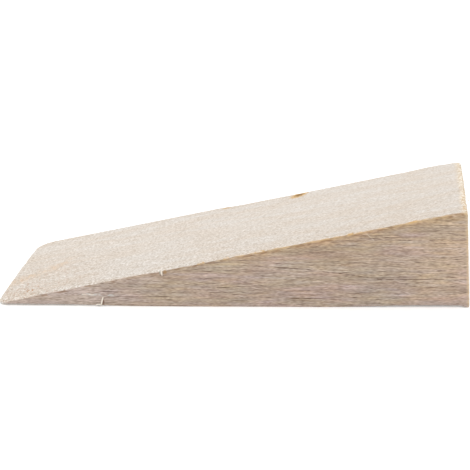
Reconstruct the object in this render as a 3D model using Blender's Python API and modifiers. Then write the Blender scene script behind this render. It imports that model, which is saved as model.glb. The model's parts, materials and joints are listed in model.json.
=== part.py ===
"""Door wedge: one solid block of beech, sawn along its length to a taper.

Units are metres and +Z is up. +X runs from the thin tip to the tall heel, Y is
the width, and Z = 0 is the face that lies on the floor. The origin is the
middle of that face. The real object is a single piece of wood with nothing
fixed to it and nothing that moves, so the model is one object.
"""

import math

import bmesh
import bpy

# Driving dimensions
LENGTH = 0.120  # tip to heel, along the floor
WIDTH = 0.045
HEEL_HEIGHT = 0.025
TIP_THICKNESS = 0.0008  # the sawn tip is not quite a knife edge
HEEL_LEAN = 0.0007  # the heel's top stands this much nearer the tip than its foot
HEEL_ARRIS_RADIUS = 0.0009  # rounding along the heel's top edge
TIP_BOW = 0.0003  # the tip edge is this much fuller in its middle
TIP_CORNER_RADIUS = 0.0025  # rounding of the tip's two corners, seen from above
ARRIS = 0.0003  # easing on every other edge
MARGIN = 0.005  # how far each outline runs past the other before they meet

NAME = "door_wedge"


def fillet(before, corner, after, radius, steps):
    """Points of an arc of this radius that rounds the corner of a polyline."""
    ax, ay = before[0] - corner[0], before[1] - corner[1]
    bx, by = after[0] - corner[0], after[1] - corner[1]
    la, lb = math.hypot(ax, ay), math.hypot(bx, by)
    ax, ay, bx, by = ax / la, ay / la, bx / lb, by / lb
    half = math.acos(max(-1.0, min(1.0, ax * bx + ay * by))) / 2
    mx, my = ax + bx, ay + by
    lm = math.hypot(mx, my)
    reach = radius / math.sin(half)
    cx, cy = corner[0] + mx / lm * reach, corner[1] + my / lm * reach
    run = radius / math.tan(half)
    start = math.atan2(corner[1] + ay * run - cy, corner[0] + ax * run - cx)
    end = math.atan2(corner[1] + by * run - cy, corner[0] + bx * run - cx)
    turn = (end - start + math.pi) % (2 * math.pi) - math.pi
    return [
        (
            cx + radius * math.cos(start + turn * i / steps),
            cy + radius * math.sin(start + turn * i / steps),
        )
        for i in range(steps + 1)
    ]


def rounded(corners):
    """A closed outline from (x, y, radius, steps) corners. Radius 0 keeps the point."""
    points = []
    for i, (x, y, radius, steps) in enumerate(corners):
        if radius == 0:
            points.append((x, y))
            continue
        before, after = corners[i - 1], corners[(i + 1) % len(corners)]
        points += fillet(before[:2], (x, y), after[:2], radius, steps)
    return points


def outline_solid(name, points, thickness, collection, turn=(0.0, 0.0, 0.0)):
    """A flat outline given half its thickness each way, as a welded mesh object."""
    data = bpy.data.curves.new(name + "_outline", "CURVE")
    data.dimensions = "2D"
    data.fill_mode = "BOTH"
    data.extrude = thickness / 2
    spline = data.splines.new("POLY")
    spline.points.add(len(points) - 1)
    for place, (x, y) in zip(spline.points, points):
        place.co = (x, y, 0.0, 1.0)
    spline.use_cyclic_u = True
    curve = bpy.data.objects.new(name + "_outline", data)
    collection.objects.link(curve)
    curve.rotation_euler = turn
    bpy.context.view_layer.update()

    graph = bpy.context.evaluated_depsgraph_get()
    mesh = bpy.data.meshes.new_from_object(curve.evaluated_get(graph))
    mesh.name = name
    work = bmesh.new()
    work.from_mesh(mesh)
    bmesh.ops.remove_doubles(work, verts=work.verts, dist=1e-6)
    bmesh.ops.recalc_face_normals(work, faces=work.faces)
    work.to_mesh(mesh)
    work.free()

    solid = bpy.data.objects.new(name, mesh)
    collection.objects.link(solid)
    solid.matrix_world = curve.matrix_world.copy()
    bpy.data.objects.remove(curve)
    bpy.data.curves.remove(data)
    return solid


def wood(name, colour, roughness):
    material = bpy.data.materials.new(name)
    material.use_nodes = True
    shader = material.node_tree.nodes["Principled BSDF"]
    shader.inputs["Base Color"].default_value = (*colour, 1.0)
    shader.inputs["Roughness"].default_value = roughness
    shader.inputs["Metallic"].default_value = 0.0
    material.diffuse_color = (*colour, 1.0)
    return material


for leftover in list(bpy.data.objects):
    bpy.data.objects.remove(leftover)

parts = bpy.data.collections.new(NAME)
cutters = bpy.data.collections.new(NAME + "_cutters")
bpy.context.scene.collection.children.link(parts)
bpy.context.scene.collection.children.link(cutters)

# Side profile, drawn with its Y upwards: base, heel, ramp and the thin tip.
tip_x, heel_x = -LENGTH / 2, LENGTH / 2
profile = rounded(
    [
        (tip_x, 0.0, 0, 0),
        (heel_x, 0.0, 0, 0),
        (heel_x - HEEL_LEAN, HEEL_HEIGHT, HEEL_ARRIS_RADIUS, 5),
        (tip_x, TIP_THICKNESS, 0, 0),
    ]
)
block = outline_solid(
    "wedge_block",
    profile,
    WIDTH + 2 * MARGIN,
    parts,
    turn=(math.pi / 2, 0.0, 0.0),
)

# Plan outline: two straight sides, and a tip edge that bows out slightly
# between rounded corners. It runs past the heel, which the profile cuts.
half = WIDTH / 2
corner_x = tip_x + TIP_BOW
plan = [(heel_x + MARGIN, -half), (heel_x + MARGIN, half)]
plan += fillet(
    (heel_x, half), (corner_x, half), (corner_x, 0.0), TIP_CORNER_RADIUS, 7
)
straight = half - TIP_CORNER_RADIUS
for i in range(1, 8):
    y = straight * (1 - i / 4)
    plan.append((corner_x - TIP_BOW * (1 - (y / straight) ** 2), y))
plan += fillet(
    (corner_x, 0.0), (corner_x, -half), (heel_x, -half), TIP_CORNER_RADIUS, 7
)
plan_cutter = outline_solid(
    "plan_cutter", plan, 2 * HEEL_HEIGHT + 2 * MARGIN, cutters
)
plan_cutter.hide_render = True
plan_cutter.display_type = "WIRE"

trim = block.modifiers.new("plan", "BOOLEAN")
trim.operation = "INTERSECT"
trim.solver = "EXACT"
trim.object = plan_cutter

ease = block.modifiers.new("eased_edges", "BEVEL")
ease.width = ARRIS
ease.segments = 2
ease.limit_method = "ANGLE"
ease.angle_limit = math.radians(40)

block.data.shade_smooth()
block.data.set_sharp_from_angle(angle=math.radians(35))
block.data.materials.append(wood("beech", (0.72, 0.62, 0.50), 0.62))
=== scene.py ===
"""Door wedge: the looks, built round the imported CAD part.

The CAD block is one plain solid. Here it is replaced by a finely divided block
with worn arrises, a relieved lower edge and small chips, plus the few torn
fibres that stand off it. Lengths inside this script are in millimetres and
become metres when a mesh is made. +X runs from the thin tip to the tall heel,
-Y is the side that faces the camera, and Z = 0 is the floor.
"""

import json
import math

import bpy
import numpy as np
from mathutils import Matrix, Vector


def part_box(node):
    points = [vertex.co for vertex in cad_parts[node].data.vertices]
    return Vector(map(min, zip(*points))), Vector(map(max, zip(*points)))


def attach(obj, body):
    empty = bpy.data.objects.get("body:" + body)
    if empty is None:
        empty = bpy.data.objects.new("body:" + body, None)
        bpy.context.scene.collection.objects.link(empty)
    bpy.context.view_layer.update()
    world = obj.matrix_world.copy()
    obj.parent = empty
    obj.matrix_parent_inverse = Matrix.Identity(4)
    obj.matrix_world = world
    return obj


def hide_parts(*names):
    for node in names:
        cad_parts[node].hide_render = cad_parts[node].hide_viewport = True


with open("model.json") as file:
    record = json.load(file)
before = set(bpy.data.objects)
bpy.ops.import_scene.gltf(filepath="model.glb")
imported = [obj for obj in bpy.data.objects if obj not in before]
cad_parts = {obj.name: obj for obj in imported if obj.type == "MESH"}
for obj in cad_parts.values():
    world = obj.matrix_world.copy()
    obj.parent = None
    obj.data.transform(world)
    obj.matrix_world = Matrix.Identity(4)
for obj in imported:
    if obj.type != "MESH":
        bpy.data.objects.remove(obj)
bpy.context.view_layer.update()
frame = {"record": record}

MM = 0.001
lo, hi = (np.array(corner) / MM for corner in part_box("wedge_block"))
mounts = {m["name"]: m for m in frame["record"]["mounts"]}

# ---------------------------------------------------------------------------
# The block's planes, from the CAD box and the record's ramp mount
# ---------------------------------------------------------------------------
TIP_X, HEEL_X = float(lo[0]), float(hi[0])
HALF_W = float(hi[1])
RAMP_N = np.array(mounts["ramp"]["axis"])
RAMP_P = np.array(mounts["ramp"]["pos_m"]) / MM
HEEL_N = np.array([0.99961, 0.0, 0.02799])  # the heel leans a little to the tip
HEEL_P = np.array([HEEL_X, 0.0, 0.0])
TIP_BOW = 0.3


def ramp_height(x):
    """Height of the sloping top above the floor at x."""
    return RAMP_P[2] - (x - RAMP_P[0]) * RAMP_N[0] / RAMP_N[2]


# ---------------------------------------------------------------------------
# Small tools in numpy
# ---------------------------------------------------------------------------
def hashed(cells, seed):
    """A repeatable number from 0 to 1 for each whole-number cell."""
    c = cells.astype(np.int64).astype(np.uint64)
    h = (
        c[..., 0] * np.uint64(73856093)
        ^ c[..., 1] * np.uint64(19349663)
        ^ c[..., 2] * np.uint64(83492791)
        ^ np.uint64(seed * 2654435761 % 2**32)
    )
    h = (h ^ (h >> np.uint64(13))) * np.uint64(1274126177)
    h = (h ^ (h >> np.uint64(16))) & np.uint64(0xFFFFFF)
    return h.astype(float) / 0xFFFFFF


def noise(points, scale, seed):
    """Smooth noise from -1 to 1. scale is the feature size in mm along X, Y, Z."""
    q = points / np.array(scale)
    cell = np.floor(q)
    f = q - cell
    f = f * f * (3 - 2 * f)
    total = 0.0
    for dx in (0, 1):
        for dy in (0, 1):
            for dz in (0, 1):
                corner = hashed(cell + np.array([dx, dy, dz]), seed)
                weight = (
                    (f[..., 0] if dx else 1 - f[..., 0])
                    * (f[..., 1] if dy else 1 - f[..., 1])
                    * (f[..., 2] if dz else 1 - f[..., 2])
                )
                total = total + corner * weight
    return 2 * total - 1


def smooth(a, b, t):
    t = np.clip((t - a) / (b - a), 0, 1)
    return t * t * (3 - 2 * t)


def round_max(a, b, r):
    """Where two faces meet: the larger of two distances, with radius r on the edge."""
    return np.minimum(np.maximum(a, b), -r) + np.hypot(
        np.maximum(a + r, 0), np.maximum(b + r, 0)
    )


# ---------------------------------------------------------------------------
# The block's surface: signed distance in mm, negative inside
# ---------------------------------------------------------------------------
def low_round(x, y):
    """Radius of the base's arrises in mm: the front one is sanded rounder at its ends."""
    front = smooth(-HALF_W + 3.0, -HALF_W + 1.5, y)
    heel_end = 1.15 * smooth(24.0, 50.0, x) * (1 - 0.75 * smooth(57.2, 59.4, x))
    tip_end = 0.80 * smooth(-14.0, -46.0, x)
    return 0.10 + front * (heel_end + tip_end)


def base_relief(x, y):
    """Height of the base over the floor near its front arris, in mm."""
    heel_end = 0.26 * smooth(22.0, 50.0, x) * (1 - 0.7 * smooth(56.8, 59.2, x))
    tip_end = 0.28 * smooth(-22.0, -50.0, x)
    return (heel_end + tip_end) * smooth(-HALF_W + 4.0, -HALF_W, y)


# How far the worn near arris stands above the ramp's plane along the block, in mm
NEAR_ARRIS = np.array(
    [
        (-60.0, -0.36), (-57.0, -0.20), (-54.5, -0.30), (-53.6, -0.36), (-52.6, -0.16),
        (-50.6, -0.12), (-49.2, -0.02), (-48.0, 0.04), (-46.8, -0.10), (-45.4, -0.02),
        (-44.0, -0.10), (-42.0, -0.02), (-40.6, -0.12), (-39.0, 0.02), (-37.4, -0.04),
        (-36.2, 0.06), (-34.6, -0.06), (-32.5, 0.04), (-31.0, 0.08), (-30.0, 0.18),
        (-28.4, 0.11), (-26.4, 0.16), (-24.0, 0.15), (-22.6, 0.18), (-21.0, 0.08),
        (-19.0, -0.08), (-16.0, -0.12), (-14.6, -0.06), (-13.4, 0.04), (-12.2, 0.02),
        (-10.8, 0.02), (-9.2, -0.06), (-7.7, -0.04), (-7.0, 0.46), (-6.4, 0.38),
        (-5.4, 0.06), (-3.8, 0.02), (-2.4, 0.06), (-1.2, 0.05), (-0.6, 0.46),
        (0.0, 0.34), (0.7, 0.06), (2.2, 0.16), (3.6, 0.12), (5.2, 0.14),
        (7.0, 0.18), (7.9, 0.46), (9.0, 0.32), (10.4, 0.15), (13.0, 0.14),
        (15.6, 0.06), (17.6, 0.12), (19.0, 0.16), (21.5, 0.22), (24.0, 0.16),
        (26.3, 0.10), (28.6, 0.13), (29.8, 0.16), (30.8, 0.46), (32.2, 0.18),
        (33.8, 0.14), (35.6, 0.20), (38.2, 0.15), (41.0, 0.22), (43.0, 0.23),
        (45.5, 0.28), (48.0, 0.27), (50.3, 0.31), (52.7, 0.22), (55.0, 0.20),
        (57.4, 0.14), (60.0, 0.02),
    ]
)


def near_arris(x, y):
    return np.interp(x, NEAR_ARRIS[:, 0], NEAR_ARRIS[:, 1]) * smooth(
        -HALF_W + 3.2, -HALF_W + 0.1, y
    )


def far_arris(x, y):
    """The far arris stands a little high over the thin half and by the heel."""
    high = 0.36 * smooth(0.0, -9.0, x) * smooth(-60.0, -54.0, x)
    high = high + 0.18 * smooth(44.0, 50.0, x) * smooth(56.5, 53.0, x)
    return high * smooth(6.0, HALF_W - 1.0, y)


# Chips and dents: (x, y, z, half length x, y, z, depth), in mm
CHIPS = [
    (15.9, 22.6, 16.2, 1.3, 0.8, 0.8, 0.06),
    (-4.9, 22.5, 12.0, 1.0, 0.9, 0.8, 0.10),
    (-18.2, -22.6, 9.4, 1.3, 0.6, 0.6, 0.22),
    (31.5, -22.6, 19.4, 0.9, 0.5, 0.5, 0.14),
    (45.0, -22.6, 22.2, 1.6, 0.5, 0.5, 0.16),
    (-43.0, -22.6, 4.3, 1.0, 0.5, 0.5, 0.12),
    (59.6, -12.0, 24.9, 0.8, 1.4, 0.7, 0.22),
    (59.6, 5.5, 24.9, 0.8, 0.9, 0.6, 0.18),
    (59.6, 17.0, 24.9, 0.9, 1.8, 0.7, 0.24),
    (60.0, -22.6, 11.0, 0.5, 0.5, 1.2, 0.14),
    (-33.5, -22.6, 0.1, 0.8, 0.5, 0.4, 0.25),
    (-32.2, -22.6, 1.1, 0.4, 0.5, 0.9, 0.20),
    (-16.0, -22.6, 9.3, 0.6, 0.5, 0.6, 0.20),
    (-59.8, 8.0, 0.4, 0.5, 1.1, 0.6, 0.18),
    (-59.9, -4.0, 0.4, 0.4, 0.7, 0.6, 0.12),
]


def surface(p):
    x, y, z = p[:, 0], p[:, 1], p[:, 2]
    near, far = -HALF_W - y, y - HALF_W
    across = y / HALF_W
    slant = 0.08 * across + 0.20 * np.clip(across, 0, 1)
    tip = (TIP_X - 0.24 + TIP_BOW * across * across + slant) - x
    heel = (p - HEEL_P) @ HEEL_N - 0.13 * across
    ramp = (p - RAMP_P) @ RAMP_N - near_arris(x, y) - far_arris(x, y)
    base = base_relief(x, y) - z

    worn = noise(p, (2.4, 2.4, 2.4), 3) * 0.5 + noise(p, (0.9, 0.9, 0.9), 5) * 0.35
    arris = 0.24 * (1 + 0.55 * worn)
    heel_round = 0.66 + 0.45 * smooth(4.0, HALF_W, y)
    top_arris = 0.2 * (1 + 0.6 * worn) + heel_round * smooth(57.0, 59.2, x)
    plan = round_max(tip, near, 2.2)
    plan = round_max(plan, far, 3.3)
    plan = round_max(plan, heel, arris)
    solid = round_max(plan, base, low_round(x, y))
    solid = round_max(solid, ramp, top_arris)

    # Hand-sanded faces are not quite flat, and the sawn heel is rougher.
    uneven = 0.035 * noise(p, (19, 11, 9), 11) + 0.014 * noise(p, (5, 3, 3), 12)
    sawn = smooth(-1.2, -0.1, heel) * (
        0.045 * noise(p, (3, 2.2, 0.55), 21) + 0.035 * noise(p, (2, 0.7, 0.35), 22)
    )
    broken = smooth(-1.3, -0.1, ramp) * np.maximum(
        smooth(-1.3, -0.1, heel), 0.7 * smooth(-0.8, -0.1, near)
    )
    torn = broken * 0.11 * (
        noise(p, (0.8, 0.5, 0.5), 31) + 0.6 * noise(p, (0.4, 0.3, 0.3), 32)
    )
    solid = solid + uneven * smooth(0.3, 2.5, z) + sawn + torn
    for cx, cy, cz, ax, ay, az, depth in CHIPS:
        q = ((x - cx) / ax) ** 2 + ((y - cy) / ay) ** 2 + ((z - cz) / az) ** 2
        near_it = q < 6
        if near_it.any():
            solid[near_it] += (
                depth * np.exp(-1.3 * q[near_it]) * (1 + 0.5 * worn[near_it])
            )
    return solid


def settle(p, rounds=5):
    """Moves points along the slope of the distance until they lie on the surface."""
    step = 0.02
    for _ in range(rounds):
        value = surface(p)
        slope = np.stack(
            [(surface(p + d) - value) / step for d in np.eye(3) * step], axis=1
        )
        size = np.maximum((slope**2).sum(1), 0.25)
        move = -(value / size)[:, None] * slope
        length = np.linalg.norm(move, axis=1, keepdims=True)
        p = p + move * np.minimum(1, 0.5 / np.maximum(length, 1e-9))
    return p


def stations(start, end, edges, pitch):
    """Positions along an edge: closer together at both ends, even between."""
    first = [start + e for e in edges]
    last = [end - e for e in edges][::-1]
    count = max(2, round((last[0] - first[-1]) / pitch))
    middle = np.linspace(first[-1], last[0], count + 1)[1:-1]
    return np.array(first + list(middle) + last)


def block_mesh():
    close = [0, 0.07, 0.15, 0.24, 0.35, 0.5, 0.7, 0.95, 1.3, 1.7]
    xs = stations(0, 1, [e / 120 for e in close], 0.53 / 120)
    ys = stations(-HALF_W, HALF_W, close, 0.50)
    levels = stations(0, 25, close, 0.55)
    nx, ny, nz = len(xs), len(ys), len(levels)
    i, j, k = np.meshgrid(range(nx), range(ny), range(nz), indexing="ij")
    on_skin = (
        (i == 0) | (i == nx - 1) | (j == 0) | (j == ny - 1) | (k == 0) | (k == nz - 1)
    )
    index = np.full((nx, ny, nz), -1, np.int64)
    index[on_skin] = np.arange(on_skin.sum())
    i, j, k = i[on_skin], j[on_skin], k[on_skin]
    floor_x = TIP_X + xs[i] * (HEEL_X - TIP_X)
    height = ramp_height(floor_x)
    # Levels keep their closeness to both arrises as the block gets thinner.
    share = levels / 25
    even = np.linspace(0, 1, nz)
    thin = smooth(9, 2, height)
    z = height * (share[k] * (1 - thin) + even[k] * thin)
    x = floor_x - z * HEEL_N[2] / HEEL_N[0] * smooth(40, 60, floor_x)
    points = settle(np.stack([x, ys[j], z], axis=1))

    def sheet(grid, flip):
        a, b = grid[:-1, :-1].ravel(), grid[1:, :-1].ravel()
        c, d = grid[1:, 1:].ravel(), grid[:-1, 1:].ravel()
        return np.stack([a, d, c, b] if flip else [a, b, c, d], axis=1)

    quads = np.concatenate(
        [
            sheet(index[:, :, -1], False),
            sheet(index[:, :, 0], True),
            sheet(index[:, 0, :], False),
            sheet(index[:, -1, :], True),
            sheet(index[0, :, :], True),
            sheet(index[-1, :, :], False),
        ]
    )
    return points, quads


def mesh_object(name, points, faces, material):
    mesh = bpy.data.meshes.new(name)
    mesh.from_pydata(
        (np.asarray(points) * MM).tolist(), [], [[int(n) for n in f] for f in faces]
    )
    mesh.validate()
    mesh.shade_smooth()
    mesh.materials.append(material)
    piece = bpy.data.objects.new(name, mesh)
    bpy.context.scene.collection.objects.link(piece)
    return piece


# ---------------------------------------------------------------------------
# Materials
# ---------------------------------------------------------------------------
def linear(r, g, b):
    """A display colour, 0 to 255, as the linear colour that a shader takes."""
    return tuple(
        c / 12.92 if c <= 0.04045 else ((c + 0.055) / 1.055) ** 2.4
        for c in (r / 255, g / 255, b / 255)
    )


class Graph:
    """Short names for building a shader's nodes."""

    def __init__(self, name):
        self.material = bpy.data.materials.new(name)
        self.material.use_nodes = True
        self.tree = self.material.node_tree
        self.shader = self.tree.nodes["Principled BSDF"]
        self.count = 0

    def node(self, kind, **settings):
        made = self.tree.nodes.new(kind)
        made.location = (-260 * (self.count // 12) - 300, -170 * (self.count % 12))
        self.count += 1
        for key, value in settings.items():
            setattr(made, key, value)
        return made

    def put(self, socket, value):
        if isinstance(value, bpy.types.NodeSocket):
            self.tree.links.new(value, socket)
        elif value is not None:
            socket.default_value = value

    def math(self, operation, *values, clamp=False):
        made = self.node("ShaderNodeMath", operation=operation, use_clamp=clamp)
        for socket, value in zip(made.inputs, values):
            self.put(socket, value)
        return made.outputs[0]

    def add(self, *values):
        total = values[0]
        for value in values[1:]:
            total = self.math("ADD", total, value)
        return total

    def mul(self, *values):
        total = values[0]
        for value in values[1:]:
            total = self.math("MULTIPLY", total, value)
        return total

    def sub(self, a, b):
        return self.math("SUBTRACT", a, b)

    def vector(self, operation, *values):
        made = self.node("ShaderNodeVectorMath", operation=operation)
        for socket, value in zip(made.inputs, values):
            self.put(socket, value)
        return made.outputs[
            "Value" if operation in ("DOT_PRODUCT", "LENGTH", "DISTANCE") else 0
        ]

    def scaled(self, vector, x, y, z):
        return self.vector("MULTIPLY", vector, (x, y, z))

    def split(self, vector):
        return self.tree_outputs("ShaderNodeSeparateXYZ", vector)

    def tree_outputs(self, kind, value):
        made = self.node(kind)
        self.put(made.inputs[0], value)
        return list(made.outputs)

    def join(self, x, y, z):
        made = self.node("ShaderNodeCombineXYZ")
        for socket, value in zip(made.inputs, (x, y, z)):
            self.put(socket, value)
        return made.outputs[0]

    def step(self, value, start, end, low=0.0, high=1.0):
        """A soft step from low to high as value goes from start to end."""
        made = self.node("ShaderNodeMapRange", interpolation_type="SMOOTHSTEP")
        for socket, v in zip(made.inputs, (value, start, end, low, high)):
            self.put(socket, v)
        return made.outputs[0]

    def remap(self, value, start, end, low=0.0, high=1.0):
        made = self.node("ShaderNodeMapRange", interpolation_type="LINEAR")
        made.clamp = True
        for socket, v in zip(made.inputs, (value, start, end, low, high)):
            self.put(socket, v)
        return made.outputs[0]

    def noise(self, vector, scale=1.0, detail=1.0, rough=0.5, colour=False):
        made = self.node("ShaderNodeTexNoise", noise_dimensions="3D")
        self.put(made.inputs["Vector"], vector)
        made.inputs["Scale"].default_value = scale
        made.inputs["Detail"].default_value = detail
        made.inputs["Roughness"].default_value = rough
        return made.outputs["Color" if colour else "Fac"]

    def cells(self, vector):
        made = self.node(
            "ShaderNodeTexVoronoi", voronoi_dimensions="3D", feature="F1"
        )
        self.put(made.inputs["Vector"], vector)
        made.inputs["Scale"].default_value = 1.0
        made.inputs["Randomness"].default_value = 1.0
        return made.outputs["Position"], made.outputs["Color"]

    def blend(self, amount, a, b, mode="MIX"):
        made = self.node("ShaderNodeMix", data_type="RGBA", blend_type=mode)
        made.clamp_factor = True
        self.put(made.inputs[0], amount)
        for socket, value in zip((made.inputs[6], made.inputs[7]), (a, b)):
            if isinstance(value, tuple):
                value = (*value, 1.0) if len(value) == 3 else value
            self.put(socket, value)
        return made.outputs[2]


def dashes(g, place, spacing, length, thick, share, seed):
    """Ray ends: short lens-shaped marks along the grain, one to a cell.

    place is in mm. spacing is the cell size and length and thick are the half
    sizes of a mark along the grain and across it. share is how many cells have one.
    It gives the marks, and a pale line of painted highlight that runs beside each of them.
    """
    moved = g.vector("ADD", place, (seed * 3.1, seed * 7.7, seed * 5.3))
    scaled = g.scaled(moved, *(1 / s for s in spacing))
    centre, colour = g.cells(scaled)
    away = g.scaled(g.vector("SUBTRACT", scaled, centre), *spacing)
    rnd = g.tree_outputs("ShaderNodeSeparateColor", colour)
    size = g.remap(rnd[0], 0, 1, 0.35, 1.0)
    dx, dy, dz = g.split(away)
    dx = g.math("DIVIDE", dx, g.mul(size, length))
    dy = g.math("DIVIDE", dy, spacing[1] * 0.55)
    dz = g.math("DIVIDE", dz, g.mul(g.remap(rnd[1], 0, 1, 0.6, 1.0), thick))
    far = g.vector("LENGTH", g.join(dx, dy, dz))
    beside = g.vector("LENGTH", g.join(dx, dy, g.math("ADD", dz, 2.1)))
    present = g.step(rnd[2], share - 0.06, share + 0.06, 1.0, 0.0)
    return g.mul(g.step(far, 1.0, 0.35), present), g.mul(
        g.step(beside, 1.0, 0.35), present
    )


def streak(g, x, z, start, end, height, slope, bend, thick, broken):
    """One long dark line along a side: height at its start, slope and bend in mm."""
    along = g.remap(x, start, end, 0.0, 1.0)
    reach = g.mul(g.step(along, 0.0, 0.12), g.step(along, 1.0, 0.85))
    run = g.sub(x, start)
    line = g.add(height, g.mul(run, slope), g.mul(run, run, bend))
    off = g.math("ABSOLUTE", g.sub(z, line))
    return g.mul(g.step(off, thick, thick * 0.25), reach, broken)


# Long dark lines on the near side: start x, end x, height, slope, bend, half thickness
NEAR_STREAKS = [
    (2.0, 46.0, 11.15, -0.030, -0.00205, 0.15),
    (41.0, 62.0, 17.80, 0.0, 0.0, 0.17),
    (35.5, 55.0, 7.46, 0.0, 0.0, 0.13),
    (-28.0, -14.0, 2.60, 0.01, 0.0, 0.12),
    (-34.0, -24.0, 3.90, 0.0, 0.0, 0.10),
    (-8.0, 3.0, 5.30, -0.02, 0.0, 0.12),
    (14.0, 30.0, 2.30, 0.0, 0.0, 0.12),
    (20.0, 27.0, 14.60, 0.02, 0.0, 0.12),
    (35.7, 38.9, 18.87, 0.0, 0.0, 0.13),
]


# Soft tones on the near side: centre x, z, half length, half height, and the tint
NEAR_TONES = [
    (-38.0, 1.5, 15.0, 6.0, (1.07, 1.09, 1.12)),
    (14.0, 9.6, 8.0, 3.6, (1.06, 1.09, 1.12)),
    (8.0, 4.8, 10.0, 2.8, (0.95, 0.94, 0.92)),
    (24.0, 14.2, 10.0, 4.4, (0.94, 0.91, 0.88)),
    (37.0, 18.0, 7.0, 3.6, (0.97, 0.94, 0.91)),
    (0.0, 10.4, 6.0, 2.6, (1.00, 1.05, 1.03)),
    (57.0, 7.0, 15.0, 19.0, (1.11, 1.09, 1.07)),
]


def beech():
    g = Graph("beech")
    place = g.vector(
        "SCALE", g.node("ShaderNodeTexCoord").outputs["Object"], None
    )
    place.node.inputs["Scale"].default_value = 1000.0
    x, y, z = g.split(place)
    nx, ny, nz = g.split(g.node("ShaderNodeNewGeometry").outputs["Normal"])
    front = g.step(ny, -0.3, -0.6)
    end = g.step(nx, 0.55, 0.9)

    # How deep each point lies under the planes of the sharp block, in mm.
    under_ramp = g.sub(
        float(RAMP_N @ RAMP_P), g.vector("DOT_PRODUCT", place, tuple(RAMP_N))
    )
    under_heel = g.sub(
        float(HEEL_N @ HEEL_P), g.vector("DOT_PRODUCT", place, tuple(HEEL_N))
    )
    from_near = g.add(y, HALF_W)
    side = g.mul(
        g.step(g.math("ABSOLUTE", ny), 0.45, 0.85), g.step(x, -59.0, -56.8)
    )

    # The grain wanders slowly along the block.
    wander = g.vector(
        "SUBTRACT",
        g.noise(g.scaled(place, 1 / 46, 1 / 17, 1 / 17), 1, 1, colour=True),
        (0.5, 0.5, 0.5),
    )
    ripple = g.vector(
        "SUBTRACT",
        g.noise(g.scaled(place, 1 / 13, 1 / 3.2, 1 / 3.2), 1, 1, colour=True),
        (0.5, 0.5, 0.5),
    )
    grain = g.vector(
        "ADD",
        place,
        g.vector("ADD", g.scaled(wander, 0, 2.6, 0.7), g.scaled(ripple, 0, 0.22, 0.12)),
    )
    gx, gy, gz = g.split(grain)

    # Growth rings round a pith up beyond the far side, so every long face is
    # cut partly with the rings and partly across them.
    pith_y = g.sub(g.sub(82.0, g.mul(gx, 0.03)), gy)
    pith_z = g.sub(g.sub(50.0, g.mul(gx, 0.0115)), gz)
    radius = g.math("SQRT", g.add(g.mul(pith_y, pith_y), g.mul(pith_z, pith_z)))
    around = g.mul(g.math("ARCTAN2", pith_z, pith_y), 100.0)
    uneven = g.mul(
        g.sub(g.noise(g.join(0.0, 0.0, g.mul(radius, 0.21)), 1, 1), 0.5), 2.4
    )
    rings = g.add(g.mul(radius, 1 / 2.9), uneven)
    ring = g.math("FRACT", rings)
    late = g.mul(g.step(ring, 0.45, 0.93), g.step(ring, 1.0, 0.96))

    # Fibres: long threads along X, which the slope of the ramp cuts to specks.
    hair = g.noise(g.scaled(grain, 1.00, 6.0, 6.0), 1, 0.0)
    thread = g.noise(g.scaled(grain, 0.15, 4.7, 4.7), 1, 1.0, 0.6)
    band = g.noise(g.scaled(grain, 0.045, 0.95, 0.95), 1, 1.0)
    broad = g.noise(g.scaled(grain, 0.022, 0.30, 0.30), 1, 1.0)
    blush = g.noise(g.scaled(grain, 0.055, 0.34, 0.34), 1, 1.0)
    elsewhere = g.vector("ADD", grain, (31.0, 9.0, 17.0))
    sallow = g.noise(g.scaled(elsewhere, 0.07, 0.42, 0.42), 1, 1.0)
    fuzz = g.noise(g.scaled(place, 1.9, 1.7, 2.2), 1, 1.0, 0.6)
    # Thin dark lines where a smooth noise crosses its middle.
    lines = None
    for along, over, width, weight in ((0.06, 1.15, 0.040, 1.0), (0.13, 2.2, 0.055, 0.8)):
        wave = g.noise(g.scaled(grain, along, over, over), 1, 0.0)
        thin = g.step(g.math("ABSOLUTE", g.sub(wave, 0.5)), width, width * 0.2)
        part = g.noise(g.scaled(place, 0.35 + along, 0.8, 2.4), 1, 1)
        thin = g.mul(thin, g.step(part, 0.42, 0.62), weight)
        lines = thin if lines is None else g.math("MAXIMUM", lines, thin)
    pore = g.noise(g.scaled(place, 1.5, 1.0, 1.7), 1, 2.0, 0.6)
    patch = g.noise(g.scaled(place, 0.30, 0.30, 0.9), 1, 1.0)

    # Ray ends: dark dashes on the sides, slanting flecks on the ramp, and fine
    # lines across the rings at the heel.
    ray_place = g.join(gx, radius, around)
    tiny, tiny_highlight = dashes(g, ray_place, (1.5, 3.0, 0.36), 0.72, 0.080, 0.80, 1)
    small, small_highlight = dashes(g, ray_place, (3.0, 4.5, 0.56), 1.50, 0.100, 0.74, 2)
    large, large_highlight = dashes(g, ray_place, (7.0, 8.0, 1.5), 3.1, 0.128, 0.60, 3)
    rays = g.math("MAXIMUM", g.mul(tiny, 0.38), g.math("MAXIMUM", g.mul(small, 0.8), large))
    # The pale lines beside the dashes are painted highlights.
    painted_highlights = g.math("MAXIMUM", g.mul(small_highlight, 0.8), large_highlight)

    broken = g.step(g.noise(g.scaled(place, 0.55, 1.0, 3.0), 1, 1), 0.34, 0.5)
    wavy_z = g.add(z, g.mul(g.sub(thread, 0.5), 0.25))
    long_lines = None
    for start, stop, height, slope, bend, thick in NEAR_STREAKS:
        mark = streak(g, gx, wavy_z, start, stop, height, slope, bend, thick, broken)
        long_lines = mark if long_lines is None else g.math("MAXIMUM", long_lines, mark)
    long_lines = g.mul(long_lines, front)
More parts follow.
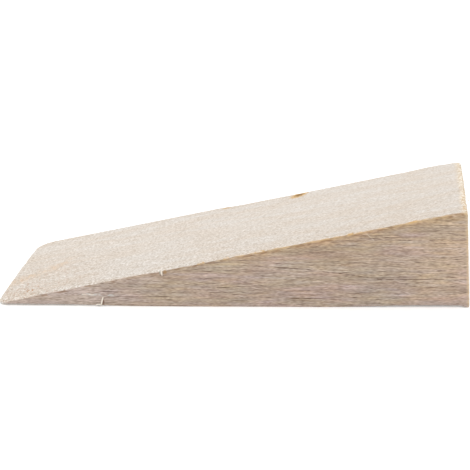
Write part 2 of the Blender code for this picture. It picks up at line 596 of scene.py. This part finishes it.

    # --- colour of the sides: the wood's own browner tone, darkened further by painted shade so that the sides stay darker than the ramp
    tan = linear(204, 182, 164)
    rosy = linear(205, 177, 163)
    sage = linear(199, 181, 157)
    dark = linear(92, 62, 42)
    side_colour_and_shade = g.blend(
        g.step(g.add(z, g.mul(g.sub(broad, 0.5), 16.0)), 1.0, 12.0),
        linear(199, 178, 166),
        linear(204, 180, 157),
    )
    side_colour_and_shade = g.blend(g.mul(g.step(broad, 0.44, 0.64), 0.7), side_colour_and_shade, tan)
    side_colour_and_shade = g.blend(g.mul(g.step(blush, 0.44, 0.64), 0.62), side_colour_and_shade, rosy)
    side_colour_and_shade = g.blend(g.mul(g.step(sallow, 0.46, 0.66), 0.62), side_colour_and_shade, sage)
    warm = g.sub(g.noise(g.scaled(elsewhere, 0.17, 1.1, 1.1), 1, 1.0), 0.5)
    side_colour_and_shade = g.blend(
        1.0,
        side_colour_and_shade,
        g.join(g.add(1.0, g.mul(warm, 0.14)), 1.0, g.sub(1.0, g.mul(warm, 0.34))),
        mode="MULTIPLY",
    )
    side_colour_and_shade = g.blend(
        g.step(x, -14.0, -48.0, 0.0, 0.75), side_colour_and_shade, linear(208, 189, 178)
    )
    side_colour_and_shade = g.blend(g.mul(late, 0.40), side_colour_and_shade, linear(192, 170, 147))
    for tx, tz, rx, rz, tone in NEAR_TONES:
        off = g.vector(
            "LENGTH",
            g.join(
                g.math("DIVIDE", g.sub(gx, tx), rx), 0.0, g.math("DIVIDE", g.sub(gz, tz), rz)
            ),
        )
        side_colour_and_shade = g.blend(
            g.mul(g.step(off, 1.15, 0.35), front), side_colour_and_shade, tone, mode="MULTIPLY"
        )
    threads = g.add(
        g.mul(g.sub(hair, 0.5), 0.92),
        g.mul(g.sub(thread, 0.5), 1.25),
        g.mul(g.sub(band, 0.5), 0.30),
    )
    side_colour_and_shade = g.blend(
        1.0,
        side_colour_and_shade,
        g.join(
            g.add(1.0, g.mul(threads, 0.92)),
            g.add(1.0, threads),
            g.add(1.0, g.mul(threads, 1.08)),
        ),
        mode="MULTIPLY",
    )
    # Painted shade: the sides are darkened here to stand for the weaker light that falls on
    # them.
    side_colour_and_shade = g.blend(1.0, side_colour_and_shade, (0.83, 0.83, 0.83), mode="MULTIPLY")
    # Painted highlight: a pale line beside each ray dash on the sides.
    side_colour_and_shade = g.blend(g.mul(painted_highlights, 0.30), side_colour_and_shade, linear(222, 207, 190))
    scuff = g.mul(
        g.step(g.math("ABSOLUTE", g.add(z, g.mul(g.add(x, 33.0), 0.035), -3.08)), 0.42, 0.12),
        g.step(x, -39.0, -37.4),
        g.step(x, -27.6, -30.0),
        g.step(g.noise(g.scaled(place, 0.9, 1.0, 2.6), 1, 1), 0.40, 0.56),
        front,
    )
    side_colour_and_shade = g.blend(g.mul(scuff, 0.62), side_colour_and_shade, linear(222, 222, 218))
    askew = g.mul(
        g.step(g.math("ABSOLUTE", g.add(z, g.mul(x, 0.93), -51.62)), 0.26, 0.08),
        g.step(x, 34.5, 34.9),
        g.step(x, 36.7, 36.2),
        front,
    )
    side_colour_and_shade = g.blend(g.mul(askew, 0.45), side_colour_and_shade, linear(224, 212, 196))
    side_colour_and_shade = g.blend(g.mul(lines, 0.34), side_colour_and_shade, dark)
    side_colour_and_shade = g.blend(g.mul(rays, 0.78), side_colour_and_shade, dark)
    side_colour_and_shade = g.blend(g.mul(long_lines, 0.85), side_colour_and_shade, dark)

    # --- colour of the ramp and base
    cream = linear(226, 218, 209)
    straw = linear(223, 211, 198)
    ramp_colour = g.blend(g.step(broad, 0.3, 0.7), cream, straw)
    ramp_colour = g.blend(g.mul(late, 0.22), ramp_colour, linear(217, 204, 190))
    rough_end = g.add(
        1.0,
        g.step(x, -5.0, -55.0, 0.0, 0.20),
        g.step(y, 12.0, -20.0, 0.0, 0.30),
        g.step(from_near, 4.0, 0.6, 0.0, 0.45),
    )
    specks = g.mul(
        rough_end,
        g.add(
            g.mul(g.sub(fuzz, 0.5), g.step(x, -10.0, 40.0, 0.78, 0.52)),
            g.mul(g.sub(hair, 0.5), 0.36),
            g.mul(g.sub(thread, 0.5), 0.46),
            g.mul(g.sub(band, 0.5), 0.06),
        ),
    )
    ramp_colour = g.blend(
        1.0,
        ramp_colour,
        g.join(
            g.add(1.0, g.mul(specks, 0.85)),
            g.add(1.0, specks),
            g.add(1.0, g.mul(specks, 1.2)),
        ),
        mode="MULTIPLY",
    )
    ramp_colour = g.blend(
        g.step(from_near, 34.0, 2.0, 0.0, 0.8),
        ramp_colour,
        g.blend(1.0, ramp_colour, (0.965, 0.957, 0.946), mode="MULTIPLY"),
    )
    ramp_colour = g.blend(
        g.step(x, -28.0, -60.0),
        ramp_colour,
        g.blend(1.0, ramp_colour, (0.990, 0.980, 0.965), mode="MULTIPLY"),
    )
    ramp_colour = g.blend(g.mul(rays, 0.22), ramp_colour, linear(184, 156, 130))
    # Short flecks lie a little aslant of the grain.
    aslant = g.join(
        g.add(g.mul(x, 0.985), g.mul(y, 0.174)),
        under_ramp,
        g.sub(g.mul(y, 0.985), g.mul(x, 0.174)),
    )
    fleck, fleck_highlight = dashes(g, aslant, (2.6, 6.0, 0.95), 1.25, 0.17, 0.62, 7)
    more = g.step(x, -52.0, 34.0, 0.55, 1.75)
    ramp_colour = g.blend(g.mul(fleck, more, 0.44), ramp_colour, linear(196, 168, 136))
    # Painted highlight: a pale line beside each fleck on the ramp.
    ramp_colour = g.blend(g.mul(fleck_highlight, more, 0.36), ramp_colour, linear(242, 236, 226))
    ramp_colour = g.blend(1.0, ramp_colour, (0.962, 0.962, 0.962), mode="MULTIPLY")
    # A warm stain crosses the ramp near the tip, with brown specks about it.
    stain_line = g.add(
        y,
        g.mul(g.add(x, 59.5), -0.78),
        g.add(8.8, g.mul(g.sub(patch, 0.5), 5.0)),
    )
    stain = g.mul(
        g.step(g.math("ABSOLUTE", stain_line), 5.0, 0.3),
        g.step(x, -42.5, -48.0),
        g.step(fuzz, 0.40, 0.60, 0.15, 1.0),
        g.step(g.noise(g.scaled(elsewhere, 0.30, 0.42, 1.0), 1, 1), 0.40, 0.60, 0.22, 1.0),
    )
    ramp_colour = g.blend(g.mul(stain, 0.62), ramp_colour, linear(226, 194, 158))
    corner = g.vector(
        "LENGTH",
        g.join(
            g.math("DIVIDE", g.add(x, 52.6), 3.2), g.math("DIVIDE", g.add(y, 17.2), 2.2), 0.0
        ),
    )
    brown_specks = g.mul(
        g.step(pore, 0.53, 0.64),
        g.add(
            g.mul(g.step(x, -22.0, -58.0), g.step(y, 16.0, -16.0), 0.75),
            g.step(corner, 1.35, 0.5),
        ),
    )
    ramp_colour = g.blend(g.mul(brown_specks, 0.66), ramp_colour, linear(184, 142, 108))

    # --- colour of the end grain: faint rings, crossed by fine pale rays
    end_colour = g.blend(g.mul(late, 0.50), linear(203, 178, 152), linear(178, 148, 120))
    across_rings = g.join(g.mul(radius, 0.16), g.mul(around, 2.3), g.mul(gx, 0.2))
    ray_line = g.step(g.noise(across_rings, 1, 0.5), 0.56, 0.68)
    end_pore = g.noise(g.scaled(place, 0.6, 5.5, 5.5), 1, 1.0, 0.6)
    end_colour = g.blend(
        1.0,
        end_colour,
        g.join(
            g.add(1.0, g.mul(g.sub(end_pore, 0.5), 0.38)),
            g.add(1.0, g.mul(g.sub(end_pore, 0.5), 0.42)),
            g.add(1.0, g.mul(g.sub(end_pore, 0.5), 0.50)),
        ),
        mode="MULTIPLY",
    )
    end_colour = g.blend(g.mul(ray_line, 0.42), end_colour, linear(224, 203, 178))
    saw = g.noise(g.scaled(place, 1.0, 0.10, 1.9), 1, 1.0)
    end_colour = g.blend(g.step(saw, 0.5, 0.7, 0.0, 0.20), end_colour, linear(176, 150, 124))

    # --- the sides are golden for a millimetre or two under the near arris
    toward_heel = g.step(x, -6.0, 10.0, 0.12, 1.0)
    near_top = g.mul(
        g.step(g.add(under_ramp, g.mul(g.sub(patch, 0.5), 2.2)), 2.4, 0.1),
        front,
        toward_heel,
    )
    side_colour_and_shade = g.blend(
        g.mul(near_top, 0.62),
        side_colour_and_shade,
        g.blend(1.0, side_colour_and_shade, linear(264, 250, 219), mode="MULTIPLY"),
    )

    colour = g.blend(side, ramp_colour, side_colour_and_shade)
    colour = g.blend(end, colour, end_colour)

    # --- lighter, ochre-flecked fibres where the saw broke out: the near top
    # arris, the heel's top edge and its upright arris; on the heel, part of the lightness is
    # painted highlight: pale flecks on its top edge and a light line down its upright arris
    ochre = linear(236, 214, 176)
    gold = linear(206, 162, 98)
    arris_line = g.mul(
        g.step(g.math("ABSOLUTE", g.add(from_near, -0.1)), 0.42, 0.05),
        g.step(under_ramp, 0.62, 0.0),
        g.step(g.noise(g.scaled(place, 0.55, 1.0, 1.0), 1, 1), 0.38, 0.62, 0.16, 1.0),
    )
    colour = g.blend(
        g.mul(arris_line, toward_heel, 0.58), colour, linear(224, 190, 142)
    )
    # Gold flecks on the small bumps of the near arris, and under the arris a broken brown
    # line of painted shade.
    bumps = None
    for bx, half in ((-6.7, 1.2), (-0.3, 0.9), (8.1, 1.6), (30.8, 0.9), (46.0, 1.4)):
        bump_here = g.step(g.math("ABSOLUTE", g.sub(x, bx)), half, half * 0.4)
        bumps = bump_here if bumps is None else g.math("MAXIMUM", bumps, bump_here)
    at_arris = g.step(g.math("ABSOLUTE", g.add(from_near, -0.05)), 0.40, 0.10)
    colour = g.blend(
        g.mul(bumps, at_arris, g.step(under_ramp, 0.30, -0.05), 0.75),
        colour,
        linear(224, 182, 120),
    )
    shade_noise = g.noise(g.scaled(elsewhere, 0.42, 1.0, 1.0), 1, 1)
    # Painted shade: a broken dark brown line on the side just under the near arris.
    painted_shade_under_arris = g.mul(
        g.step(g.math("ABSOLUTE", g.sub(under_ramp, 0.42)), 0.42, 0.12),
        g.step(shade_noise, 0.50, 0.62),
        front,
        g.step(x, -54.0, -48.0),
    )
    colour = g.blend(g.mul(painted_shade_under_arris, 0.50), colour, linear(136, 98, 62))
    flecks = g.step(g.noise(g.scaled(place, 2.0, 0.95, 2.0), 1, 2, 0.6), 0.50, 0.60)
    pale = g.step(g.noise(g.scaled(elsewhere, 1.6, 0.85, 1.4), 1, 1, 0.6), 0.50, 0.60)
    heel_top = g.mul(
        g.step(g.add(under_heel, g.mul(g.sub(patch, 0.5), 1.6)), 2.2, 0.3),
        g.step(under_ramp, 2.4, 1.0),
        g.step(nz, 0.0, 0.4),
    )
    colour = g.blend(g.mul(heel_top, 0.5), colour, ochre)
    colour = g.blend(
        g.mul(heel_top, flecks, g.step(y, 16.0, -20.0, 0.35, 0.85)), colour, gold
    )
    # Painted highlight, in part: pale flecks on the heel's rounded top edge, over pale broken
    # fibres.
    pale = g.mul(pale, g.step(from_near, 0.2, 1.4, 0.2, 1.0))
    colour = g.blend(g.mul(heel_top, pale, 0.9), colour, linear(248, 240, 228))
    # Painted highlight: a light ochre line down the heel's upright near arris, over ochre
    # broken fibres.
    upright = g.mul(
        g.step(g.add(under_heel, from_near), 0.95, 0.2),
        g.step(patch, 0.3, 0.6, 0.5, 1.0),
    )
    colour = g.blend(g.mul(upright, 0.6), colour, linear(222, 196, 156))

    # --- small dark spots beside the torn fibres: the pits they left, with the shade that the fibres cast painted into them
    for px, pz, rx, rz, tone in (
        (-32.25, 1.05, 0.26, 0.80, linear(126, 94, 76)),
        (-33.50, 0.26, 0.50, 0.30, linear(100, 94, 86)),
        (-16.00, 9.20, 0.55, 0.50, linear(168, 134, 92)),
        (-17.25, 9.15, 0.20, 0.50, linear(170, 172, 160)),
    ):
        off = g.vector(
            "LENGTH",
            g.join(
                g.math("DIVIDE", g.sub(x, px), rx), 0.0, g.math("DIVIDE", g.sub(z, pz), rz)
            ),
        )
        colour = g.blend(
            g.mul(g.step(off, 1.2, 0.6), g.step(from_near, 1.2, 0.6), 0.85), colour, tone
        )

    # --- two resin-coloured spots at the far arris
    for sx, sy, turn, long, wide, strength in (
        (15.2, 20.9, 0.75, 2.8, 1.75, 1.0),
        (-5.1, 21.9, 0.3, 1.2, 1.2, 0.62),
    ):
        du = g.add(
            g.mul(g.sub(x, sx), math.cos(turn)), g.mul(g.sub(y, sy), math.sin(turn))
        )
        dv = g.sub(
            g.mul(g.sub(y, sy), math.cos(turn)), g.mul(g.sub(x, sx), math.sin(turn))
        )
        spread = g.vector(
            "LENGTH",
            g.join(g.math("DIVIDE", du, long), g.math("DIVIDE", dv, wide), 0.0),
        )
        spread = g.add(spread, g.mul(g.sub(fuzz, 0.5), 0.7))
        top_only = g.step(under_ramp, 2.0, 1.0)
        colour = g.blend(
            g.mul(g.step(spread, 1.25, 0.70), strength, 0.78, top_only),
            colour,
            linear(214, 168, 92),
        )
        colour = g.blend(
            g.mul(g.step(spread, 0.72, 0.28), strength, 0.85, top_only),
            colour,
            linear(136, 98, 40),
        )

    colour = g.blend(1.0, colour, (0.83, 0.83, 0.83), mode="MULTIPLY")
    g.put(g.shader.inputs["Base Color"], colour)
    g.shader.inputs["Roughness"].default_value = 0.66
    g.shader.inputs["Specular IOR Level"].default_value = 0.35

    # --- relief
    height = g.add(
        g.mul(hair, 0.5), g.mul(thread, 0.3), g.mul(rays, -0.35), g.mul(fuzz, 0.5)
    )
    bump = g.node("ShaderNodeBump")
    bump.inputs["Strength"].default_value = 0.5
    bump.inputs["Distance"].default_value = 0.12 * MM
    g.put(bump.inputs["Height"], height)
    g.put(g.shader.inputs["Normal"], bump.outputs[0])
    return g.material


# ---------------------------------------------------------------------------
# Camera, from a fit of the block's straight edges
# ---------------------------------------------------------------------------
camera_data = bpy.data.cameras.new("camera")
camera_data.sensor_width = 36.0
camera_data.sensor_fit = "HORIZONTAL"
camera_data.lens = 1448.01 * 36.0 / 470.0
camera_data.clip_start = 0.02
camera_data.clip_end = 30.0
camera = bpy.data.objects.new("camera", camera_data)
bpy.context.scene.collection.objects.link(camera)
across = Vector((0.9937302, 0.1056456, -0.0365963))
down = Vector((-0.0006920, -0.3215061, -0.9469073))
ahead = Vector((-0.1118025, 0.9409957, -0.3194172))
turn = Matrix((across, -down, -ahead)).transposed().to_4x4()
camera.matrix_world = (
    Matrix.Translation(Vector((42.3019, -360.5252, 133.8636)) * MM) @ turn
)
bpy.context.scene.camera = camera

# ---------------------------------------------------------------------------
# Pieces
# ---------------------------------------------------------------------------
points, quads = block_mesh()
points[:, 2] = np.maximum(points[:, 2], 0.0)
block = mesh_object("beech_block", points, quads, beech())
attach(block, "root")
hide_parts("wedge_block")

# Torn fibres: points (x, y, z) along each in mm, then half width and half thickness
TORN_FIBRES = [
    (  # a curl at the lower near arris
        [(-32.25, -22.42, 2.45), (-32.42, -22.62, 1.95), (-32.58, -22.76, 1.40),
         (-32.68, -22.82, 0.90), (-32.90, -22.82, 0.50), (-33.25, -22.78, 0.42)],
        0.23, 0.13,
    ),
    (  # its broken foot
        [(-33.05, -22.74, 0.62), (-33.45, -22.82, 0.64), (-33.90, -22.84, 0.56),
         (-34.25, -22.80, 0.36)],
        0.19, 0.10,
    ),
    (  # one that hangs from the upper near arris
        [(-16.92, -22.40, 9.72), (-16.86, -22.60, 9.42), (-16.80, -22.72, 9.05),
         (-16.75, -22.78, 8.70), (-16.68, -22.76, 8.34)],
        0.24, 0.12,
    ),
    ([(-37.75, -22.46, 3.26), (-37.1, -22.58, 3.24), (-36.4, -22.48, 3.18)], 0.11, 0.06),
    ([(-35.9, -22.46, 3.14), (-35.2, -22.58, 3.20), (-34.4, -22.47, 3.22)], 0.10, 0.06),
    ([(-7.35, -22.40, 11.60), (-6.85, -22.58, 11.80), (-6.2, -22.52, 11.78)], 0.14, 0.07),
    ([(-0.75, -22.40, 12.95), (-0.35, -22.58, 13.08), (0.25, -22.52, 13.02)], 0.12, 0.06),
    ([(7.2, -22.40, 14.55), (7.9, -22.57, 14.72), (8.9, -22.50, 14.80)], 0.13, 0.06),
    ([(59.45, -13.1, 24.70), (59.85, -12.7, 24.86), (60.12, -12.2, 24.84)], 0.12, 0.06),
    ([(59.60, 3.2, 24.62), (59.95, 3.6, 24.70), (60.14, 4.1, 24.62)], 0.11, 0.06),
]


def fibre_mesh(path, wide, thick, sides=7, between=5):
    """A tapering strand of oval section along a smooth path, closed at both ends."""
    knots = np.array(path)
    ends = np.concatenate([[2 * knots[0] - knots[1]], knots, [2 * knots[-1] - knots[-2]]])
    line = []
    for n in range(1, len(ends) - 2):
        a, b, c, d = ends[n - 1 : n + 3]
        for t in np.arange(between) / between:
            line.append(
                0.5
                * (
                    2 * b
                    + (c - a) * t
                    + (2 * a - 5 * b + 4 * c - d) * t**2
                    + (3 * b - a - 3 * c + d) * t**3
                )
            )
    line = np.array([*line, knots[-1]])
    ahead_of = np.gradient(line, axis=0)
    ahead_of /= np.linalg.norm(ahead_of, axis=1, keepdims=True)
    outward = np.array([0.0, -1.0, 0.0])
    over = np.cross(ahead_of, outward)
    over /= np.linalg.norm(over, axis=1, keepdims=True)
    out = np.cross(over, ahead_of)
    along = np.linspace(0, 1, len(line))
    taper = 0.30 + 0.70 * np.sqrt(np.clip(1 - (2 * along - 0.9) ** 2, 0, 1))
    angle = np.arange(sides) * 2 * math.pi / sides
    rings = (
        line[:, None]
        + (taper * wide)[:, None, None] * np.cos(angle)[None, :, None] * over[:, None]
        + (taper * thick)[:, None, None] * np.sin(angle)[None, :, None] * out[:, None]
    )
    verts = np.concatenate([rings.reshape(-1, 3), line[:1], line[-1:]])
    first, last = len(verts) - 2, len(verts) - 1
    faces = []
    for r in range(len(line) - 1):
        for q in range(sides):
            a, b = r * sides + q, r * sides + (q + 1) % sides
            faces.append((a, b, b + sides, a + sides))
    caps = []
    for q in range(sides):
        caps.append(((q + 1) % sides, q, first))
        top = (len(line) - 1) * sides
        caps.append((top + q, top + (q + 1) % sides, last))
    return verts, faces + caps


def loose_fibre():
    """Bare, unsanded beech fibre: pale, with fine lengthwise variation."""
    g = Graph("torn_fibre")
    place = g.vector(
        "SCALE", g.node("ShaderNodeTexCoord").outputs["Object"], None
    )
    place.node.inputs["Scale"].default_value = 1000.0
    streaks = g.noise(g.scaled(place, 2.2, 9.0, 9.0), 1, 1)
    colour = g.blend(
        g.step(streaks, 0.35, 0.65), linear(222, 208, 191), linear(240, 232, 220)
    )
    colour = g.blend(1.0, colour, (0.9, 0.9, 0.9), mode="MULTIPLY")
    g.put(g.shader.inputs["Base Color"], colour)
    g.shader.inputs["Roughness"].default_value = 0.7
    g.shader.inputs["Specular IOR Level"].default_value = 0.3
    bump = g.node("ShaderNodeBump")
    bump.inputs["Strength"].default_value = 0.4
    bump.inputs["Distance"].default_value = 0.05 * MM
    g.put(bump.inputs["Height"], streaks)
    g.put(g.shader.inputs["Normal"], bump.outputs[0])
    return g.material


fibre_points, fibre_faces = [], []
for path, wide, thick in TORN_FIBRES:
    verts, faces = fibre_mesh(path, wide, thick)
    offset = len(fibre_points)
    fibre_points.extend(verts.tolist())
    fibre_faces.extend([tuple(n + offset for n in face) for face in faces])
fibres = mesh_object("torn_fibres", fibre_points, fibre_faces, loose_fibre())
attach(fibres, "root")

# ---------------------------------------------------------------------------
# Floor and light
# ---------------------------------------------------------------------------
floor_material = Graph("floor")
floor_material.shader.inputs["Base Color"].default_value = (0.93, 0.93, 0.93, 1)
floor_material.shader.inputs["Roughness"].default_value = 0.9
floor_material.shader.inputs["Specular IOR Level"].default_value = 0.1
floor_material.shader.inputs["Emission Color"].default_value = (1, 1, 1, 1)
floor_material.shader.inputs["Emission Strength"].default_value = 0.14
floor = mesh_object(
    "floor",
    np.array([(-3000, -3000, 0), (3000, -3000, 0), (3000, 3000, 0), (-3000, 3000, 0)])
    - np.array([0, 0, 0.02]),
    [[0, 1, 2, 3]],
    floor_material.material,
)

world = bpy.data.worlds.new("studio")
world.use_nodes = True
world.node_tree.nodes["Background"].inputs[0].default_value = (1, 1, 1, 1)
world.node_tree.nodes["Background"].inputs[1].default_value = 0.85
bpy.context.scene.world = world


def sun(name, direction, strength, angle):
    data = bpy.data.lights.new(name, "SUN")
    data.energy = strength
    data.angle = math.radians(angle)
    lamp = bpy.data.objects.new(name, data)
    bpy.context.scene.collection.objects.link(lamp)
    lamp.rotation_euler = Vector(direction).to_track_quat("-Z", "Y").to_euler()
    return lamp


sun("overhead", (0.02, 0.10, -1.0), 1.47, 70)

scene = bpy.context.scene
scene.view_settings.view_transform = "Standard"
scene.view_settings.look = "None"
scene.view_settings.exposure = 0.0
scene.view_settings.gamma = 1.0
